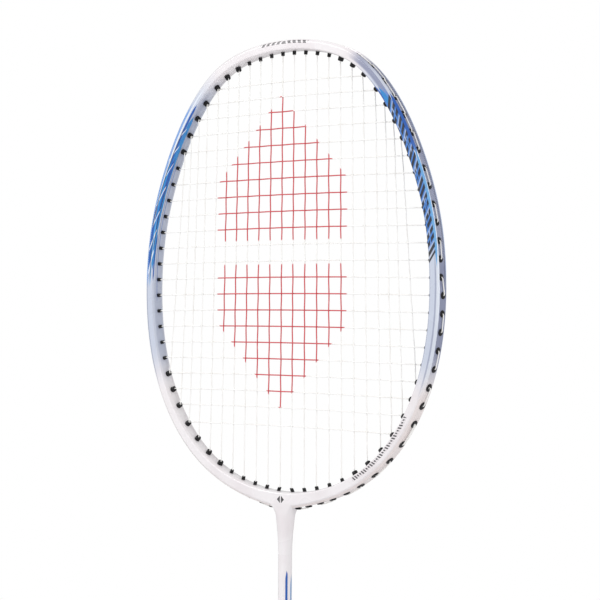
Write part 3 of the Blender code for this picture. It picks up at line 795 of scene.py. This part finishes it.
def make_grommets(hoop, holes, material, pair_nodes):
    """Round flanged barrels, one in every string hole."""
    groups = {False: Skin(), True: Skin()}
    for hole in holes.values():
        bore, barrel, flange = (0.9, 1.5, 2.2) if hole.wide else (0.5, 0.98, 1.9)
        wide = flange * 1.1
        tip = -5.4 if hole.wide else -5.15
        base = hole.floor
        thick = 1.0 + 0.2 * swell_at(hoop, hole.station)
        rings = ((bore, bore, tip + 0.1), (barrel * 0.86, barrel * 0.86, tip), (barrel, barrel, tip + 0.3),
                 (barrel * 1.06, barrel * 1.06, -3.3), (barrel * 1.1, barrel * 1.1, base - 0.2),
                 (flange * 0.96, wide * 0.96, base - 0.05), (flange, wide, base + 0.2 * thick),
                 (flange * 0.9, wide * 0.9, base + 0.46 * thick),
                 (flange * 0.66, wide * 0.66, base + 0.62 * thick),
                 (bore * 1.15, bore * 1.15, base + 0.66 * thick), (bore, bore, base + 0.55 * thick))
        along = hole.at(0.0, 0.5) - hole.at(0.0, -0.5)
        along /= np.linalg.norm(along)
        body = []
        for reach_along, reach_y, out in rings:
            centre = hole.at(out)
            body.append([
                centre + along * (reach_along * math.cos(a)) + FORWARD * (reach_y * math.sin(a))
                for a in np.arange(20) * (2 * math.pi / 20)
            ])
        groups[hole.wide].shell(body)
    single = add_piece("single_grommets", groups[False], material, pair_nodes, 50)
    wide = add_piece("wide_grommets", groups[True], material, pair_nodes, 50)
    return single, wide


def main_end_holes(holes, index):
    """The crown and throat holes of a main, counted outwards from the middle on its side."""
    side = 1 if index > 0 else -1
    step = abs(index) - 1
    crown = ("cross", SHARED_AT_CROWN[step]) if step in SHARED_AT_CROWN else ("crown", step)
    throat = ("cross", SHARED_AT_THROAT[step]) if step in SHARED_AT_THROAT else ("throat", step)
    return holes[side, *crown], holes[side, *throat]


def crossing(a, b, c, d):
    """Shares of the way along ab and cd at which they cross in the bed's plane."""
    along, other, gap = (b - a)[[0, 2]], (d - c)[[0, 2]], (c - a)[[0, 2]]
    matrix = np.array([along, -other]).T
    return np.linalg.solve(matrix, gap)


def woven_run(start, end, knots, bow):
    """Points of one run: it passes over and under at the knots, (share, y), and bows up."""
    shares = [0.0, *(k[0] for k in knots), 1.0]
    lifts = [start[1], *(k[1] for k in knots), end[1]]
    points = []
    for i in range(len(shares) - 1):
        for t in np.arange(4) / 4:
            share = shares[i] + (shares[i + 1] - shares[i]) * t
            ease = (1 - math.cos(math.pi * t)) / 2
            point = start + (end - start) * share
            point[1] = lifts[i] + (lifts[i + 1] - lifts[i]) * ease
            point[2] += bow * 4 * share * (1 - share)
            points.append(point)
    points.append(end)
    return points


def outside_loop(hoop, first, second, y_first, y_second):
    """From one hole's outer end along the groove to the next one's."""
    begin, finish = first.distance(first.loop_out), second.distance(second.loop_out)
    step = (finish - begin + hoop.length / 2) % hoop.length - hoop.length / 2
    turn = step / abs(step) * 0.1
    points = [first.at(first.loop_out - 1.1, y=y_first), first.at(first.loop_out - 0.3, turn, y_first)]
    for share in np.linspace(0.08, 0.92, 7):
        y = y_first + (y_second - y_first) * share
        sag = 0.08 * math.sin(math.pi * share)
        height = first.loop_out + (second.loop_out - first.loop_out) * share
        points.append(hoop.at(begin + step * share, height - sag, y))
    points.append(second.at(second.loop_out - 0.3, -turn, y_second))
    points.append(second.at(second.loop_out - 1.1, y=y_second))
    return points


def tube(skin, route, radius, sides):
    """A round tube along the route, with closed ends."""
    route = np.array(route)
    steps = np.diff(route, axis=0)
    steps /= np.linalg.norm(steps, axis=1)[:, None]
    heading = np.vstack([steps[:1], steps[:-1] + steps[1:], steps[-1:]])
    heading /= np.linalg.norm(heading, axis=1)[:, None]
    rings = []
    side = np.cross(heading[0], FORWARD)
    for point, direction in zip(route, heading):
        side = side - direction * np.dot(side, direction)
        side /= np.linalg.norm(side)
        up = np.cross(direction, side)
        angles = np.arange(sides) * (2 * math.pi / sides)
        rings.append([point + radius * (side * math.cos(a) + up * math.sin(a)) for a in angles])
    skin.loft(rings)


def make_strings(hoop, holes, material):
    """The mains and the crosses, woven over and under each other, with the loops outside."""
    mains = []
    order = [*range(-MAINS_PER_SIDE, 0), *range(1, MAINS_PER_SIDE + 1)]
    for index in order:
        crown, throat = main_end_holes(holes, index)
        mains.append((crown, throat))
    crosses = [(holes[-1, "cross", c], holes[1, "cross", c]) for c in range(1, CROSSES + 1)]

    def ends(pair, weave):
        return [hole.at(TIP_OUT, y=weave if hole.shared else 0.0) for hole in pair]

    main_ends = [ends(pair, -SHARED_SHIFT) for pair in mains]
    cross_ends = [ends(pair, SHARED_SHIFT) for pair in crosses]
    main_knots = [[] for _ in mains]
    cross_knots = [[] for _ in crosses]
    for i, (a, b) in enumerate(main_ends):
        for j, (c, d) in enumerate(cross_ends):
            share, other = crossing(a, b, c, d)
            if 0.012 < share < 0.988 and 0.012 < other < 0.988:
                over = 1 if (i + j) % 2 else -1
                main_knots[i].append((share, MAIN_WEAVE * over))
                cross_knots[j].append((other, -CROSS_WEAVE * over))
    for name, pairs, places, knots, weave, bow, node in (
        ("main_string_woven", mains, main_ends, main_knots, -SHARED_SHIFT, 0.0, "main_string"),
        ("cross_string_woven", crosses, cross_ends, cross_knots, SHARED_SHIFT, CROSS_BOW, "cross_string"),
    ):
        route = []
        previous = None
        for number, (pair, (first, second)) in enumerate(zip(pairs, places)):
            run = woven_run(first, second, sorted(knots[number]), bow)
            forwards = number % 2 == (1 if node == "main_string" else 0)
            start, end = pair if forwards else pair[::-1]
            if not forwards:
                run = run[::-1]
            if previous is None:
                route.append(start.at(start.loop_out - 0.5, y=weave if start.shared else 0.0))
            else:
                shifts = [weave if hole.shared else 0.0 for hole in (previous, start)]
                route += outside_loop(hoop, previous, start, *shifts)
            route += run
            previous = end
        route.append(previous.at(previous.loop_out - 0.5, y=weave if previous.shared else 0.0))
        skin = Skin()
        tube(skin, route, STRING_RADIUS, STRING_SIDES)
        add_piece(name, skin, material, [node])


# ---------------------------------------------------------------- shaft and handle

def circle(z, radius, sides=64):
    return [(radius * math.cos(a), radius * math.sin(a), z) for a in np.arange(sides) * (2 * math.pi / sides)]


def make_shaft(material):
    skin = Skin()
    rings = [circle(SHAFT_BOTTOM, SHAFT_BORE), circle(SHAFT_BOTTOM, SHAFT_RADIUS - 0.2),
             circle(SHAFT_BOTTOM + 0.2, SHAFT_RADIUS)]
    rings += [circle(z, SHAFT_RADIUS) for z in np.linspace(SHAFT_BOTTOM + 1, SHAFT_TOP, 60)]
    rings.append(circle(SHAFT_TOP, SHAFT_BORE))
    skin.shell(rings)
    add_piece("shaft_skin", skin, material, ["shaft"], 50)


def rounded_octagon(half_x, half_y, rounding, z, blend=0.0, radius=0.0):
    """A ring of 96 points: an octagon with rounded corners, blended towards a circle."""
    cut = CORNER_CUT * half_y
    corners = [(half_x, half_y - cut), (half_x - cut, half_y)]
    corners += [(-x, y) for x, y in corners[::-1]]
    corners += [(-x, -y) for x, y in corners]
    corners = [np.array(corner) for corner in corners]
    ring = []
    for index, here in enumerate(corners):
        back = corners[index - 1] - here
        ahead = corners[(index + 1) % 8] - here
        reach_back, reach_ahead = np.linalg.norm(back), np.linalg.norm(ahead)
        first = here + back / reach_back * rounding
        last = here + ahead / reach_ahead * rounding
        for t in np.linspace(0.0, 1.0, 7):
            ring.append((1 - t) ** 2 * first + 2 * t * (1 - t) * here + t * t * last)
        start = corners[(index + 1) % 8] - ahead / reach_ahead * rounding
        for t in np.linspace(0.0, 1.0, 7)[1:-1]:
            ring.append(last + (start - last) * t)
    points = []
    for x, y in ring:
        size = math.hypot(x, y)
        x += blend * (radius * x / size - x)
        y += blend * (radius * y / size - y)
        points.append((x, y, z))
    return points


def handle_ring(z, extra, rounding=1.6):
    """The outside of the handle's top at a height, grown by extra: core, then tapering cone."""
    blend = min(max((z - CONE_START) / (CONE_TOP - CONE_START), 0.0), 1.0)
    eased = blend * blend * (3 - 2 * blend)
    half_x, half_y = (half + extra for half in CORE_HALF)
    return rounded_octagon(half_x, half_y, rounding, z, eased, CONE_TIP_RADIUS + extra)


def make_cone(material):
    skin = Skin()
    outside = [handle_ring(z, 0.0) for z in np.linspace(CORE_TOP + GAP, CONE_TOP - 0.8, 30)]
    outside += [handle_ring(CONE_TOP - 0.25, -0.12), handle_ring(CONE_TOP, -0.45)]
    inside = [[(x * f, y * f, z) for x, y, _ in ring for f in [CORE_BORE / math.hypot(x, y)]]
              for ring, z in ((outside[-1], CONE_TOP), (outside[0], CORE_TOP + GAP))]
    skin.shell(outside + inside)
    add_piece("handle_cone_skin", skin, material, ["handle_cone"], 60)


def make_butt_cap(material):
    skin = Skin()
    profile = ((0.0, 2.35), (0.12, 2.75), (0.45, 3.3), (0.9, 3.75), (1.5, 4.0), (2.6, 4.08), (5.0, 4.05),
               (7.5, 3.88), (10.0, 3.4), (12.5, 2.75), (15.0, 2.15), (15.6, 2.0), (15.9, 1.8), (16.0, 1.5))
    outside = [rounded_octagon(*(half + extra for half in CORE_HALF), 2.6, z) for z, extra in profile]
    inside = [rounded_octagon(*(half + GAP for half in CORE_HALF), 1.6, z) for z in (16.0, 2.6)]
    rows = [skin.row(ring) for ring in outside + inside]
    for first, second in zip(rows, rows[1:]):
        skin.strip(first, second)
    skin.face(*rows[-1])
    bottom = outside[0]
    marks = [(0.80, 0.0), (0.785, 0.35), (0.74, 0.35), (0.725, 0.0), (0.40, 0.0), (0.385, 0.3)]
    rings = [skin.row([(x * f, y * f, z) for x, y, _ in bottom]) for f, z in marks]
    for first, second in zip([rows[0], *rings], rings):
        skin.strip(first, second)
    skin.face(*rings[-1])
    add_piece("butt_cap_skin", skin, material, ["butt_cap"], 40)


def make_grip(material):
    """A soft strip wound up the handle, each turn lapping the edge of the one below."""
    skin = Skin()
    outside = []
    for z in np.linspace(GRIP_BOTTOM, GRIP_TOP, 430):
        base = handle_ring(z, GAP + GRIP_THICKNESS, 2.4)
        fade = min((z - GRIP_BOTTOM) / 2.0, (GRIP_TOP - z) / 1.2, 1.0)
        under_tape = min(max(TAPE_BOTTOM - 0.2 - z, 0.0), 1.0)
        ring = []
        for x, y, _ in base:
            angle = math.degrees(math.atan2(x, -y))
            turn = ((z - angle * GRIP_PITCH / 360) / GRIP_PITCH) % 1.0
            lap = 0.42 * max(0.0, 1 - turn / 0.16) ** 1.3 - 0.18 * max(0.0, (turn - 0.93) / 0.07)
            puff = 0.1 * math.sin(math.pi * turn)
            size = math.hypot(x, y)
            grow = 1 + ((lap * under_tape + puff) * fade - 0.6 * (1 - fade)) / size
            ring.append((x * grow, y * grow, z))
        outside.append(ring)
    inside = [handle_ring(z, GAP) for z in (GRIP_TOP, CORE_TOP, GRIP_BOTTOM)]
    skin.shell(outside + inside)
    add_piece("wrapped_grip", skin, material, ["base_grip"], 60)


def make_tape(material):
    skin = Skin()
    reach = 2 * GAP + 1.5
    profile = ((TAPE_BOTTOM, -0.25), (TAPE_BOTTOM, 0.02), (TAPE_BOTTOM + 0.12, 0.1))
    outside = [handle_ring(z, reach + extra, 2.6) for z, extra in profile]
    outside += [handle_ring(z, reach + 0.1, 2.6) for z in np.linspace(TAPE_BOTTOM + 0.5, TAPE_TOP - 0.5, 10)]
    outside += [handle_ring(z, reach + extra, 2.6) for z, extra in
                ((TAPE_TOP - 0.12, 0.1), (TAPE_TOP, 0.02), (TAPE_TOP, -0.25))]
    skin.shell(outside)
    add_piece("finishing_tape", skin, material, ["grip_tape"], 60)


# ---------------------------------------------------------------- studio

def look_along(obj, position, forward, roll):
    """Places a camera or light: position in millimetres, forward a direction, roll in radians."""
    forward = Vector(forward).normalized()
    right = forward.cross(Vector((0, 0, 1))).normalized()
    up = right.cross(forward)
    turned = right * math.cos(roll) + up * math.sin(roll)
    up = turned.cross(forward)
    matrix = Matrix((turned, up, -forward)).transposed().to_4x4()
    matrix.translation = Vector(position) * MM
    obj.matrix_world = matrix


def make_camera():
    azimuth, elevation, roll = (math.radians(a) for a in (36.7, -0.36, 0.40))
    distance, target = 896.7, Vector((8.9, 0.0, 532.75))
    forward = Vector((-math.sin(azimuth) * math.cos(elevation),
                      math.cos(azimuth) * math.cos(elevation), -math.sin(elevation)))
    data = bpy.data.cameras.new("camera")
    data.sensor_width = 36.0
    data.lens = 99.0
    data.clip_start = 0.05
    data.clip_end = 20.0
    camera = bpy.data.objects.new("camera", data)
    bpy.context.scene.collection.objects.link(camera)
    look_along(camera, target - forward * distance, forward, roll)
    bpy.context.scene.camera = camera


def make_light(name, position, target, size, power):
    data = bpy.data.lights.new(name, "AREA")
    data.shape = "RECTANGLE"
    data.size, data.size_y = size
    data.energy = power
    light = bpy.data.objects.new(name, data)
    bpy.context.scene.collection.objects.link(light)
    look_along(light, position, Vector(target) - Vector(position), 0.0)


def make_world():
    """White all round, a little dimmer from below."""
    world = bpy.data.worlds.new("studio")
    bpy.context.scene.world = world
    world.use_nodes = True
    tree = world.node_tree
    back = tree.nodes["Background"]
    back.inputs["Color"].default_value = (1.0, 1.0, 1.0, 1.0)
    back.inputs["Strength"].default_value = 1.0
    dim = tree.nodes.new("ShaderNodeBackground")
    source = tree.nodes.new("ShaderNodeTexCoord")
    parts = tree.nodes.new("ShaderNodeSeparateXYZ")
    ramp = tree.nodes.new("ShaderNodeMapRange")
    ramp.inputs["From Min"].default_value = -1.0
    ramp.inputs["From Max"].default_value = 1.0
    ramp.inputs["To Min"].default_value = 0.58
    ramp.inputs["To Max"].default_value = 0.8
    tree.links.new(source.outputs["Generated"], parts.inputs[0])
    tree.links.new(parts.outputs["Z"], ramp.inputs["Value"])
    tree.links.new(ramp.outputs[0], dim.inputs["Strength"])
    path = tree.nodes.new("ShaderNodeLightPath")
    mix = tree.nodes.new("ShaderNodeMixShader")
    tree.links.new(path.outputs["Is Camera Ray"], mix.inputs[0])
    tree.links.new(dim.outputs[0], mix.inputs[1])
    tree.links.new(back.outputs[0], mix.inputs[2])
    tree.links.new(mix.outputs[0], tree.nodes["World Output"].inputs["Surface"])


def make_floor():
    skin = Skin()
    rings = [circle(-0.3, radius, 96) for radius in (150.0, 400.0, 800.0, 1200.0)]
    rows = skin.loft(rings, caps=False)
    skin.face(*rows[0])
    mesh = bpy.data.meshes.new("floor")
    mesh.from_pydata([(x * MM, y * MM, z * MM) for x, y, z in skin.points], [], skin.faces)
    mesh.materials.append(floor_paint())
    floor = bpy.data.objects.new("floor", mesh)
    bpy.context.scene.collection.objects.link(floor)


def paint_hidden(node, material):
    """A solid that stays as it was packed, with a finish of its own."""
    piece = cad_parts[node]
    piece.data.materials.clear()
    piece.data.materials.append(material)


def main():
    bpy.context.scene.view_settings.view_transform = "Standard"
    make_camera()
    make_world()
    make_light("key", (-900, -1100, 1500), (0, 0, 500), (0.9, 0.9), 16)
    make_light("fill", (1300, -500, 900), (0, 0, 520), (0.5, 1.2), 7)
    make_floor()

    hoop = Hoop()
    holes = make_holes(hoop)
    pairs = [f"grommet_pair_{number:02d}" for number in range(1, 37)]
    make_frame_skin(hoop, hoop_paint())
    black = nylon_paint("black_grommet_nylon", srgb(16, 16, 18), srgb(30, 30, 33), 0.45)
    make_grommets(hoop, holes, black, pairs)
    make_strings(hoop, holes, string_paint())
    make_shaft(shaft_paint())
    make_cone(nylon_paint("pearl_cone_plastic", PEARL, PEARL_SHADE, 0.32))
    make_butt_cap(nylon_paint("black_cap_plastic", srgb(30, 30, 33), srgb(44, 44, 48), 0.45))
    make_grip(grip_paint())
    make_tape(nylon_paint("black_tape_vinyl", srgb(32, 32, 36), srgb(48, 48, 54), 0.5))
    paint_hidden("handle_core", wood_paint())
    paint_hidden("t_joint", alloy_paint())


main()
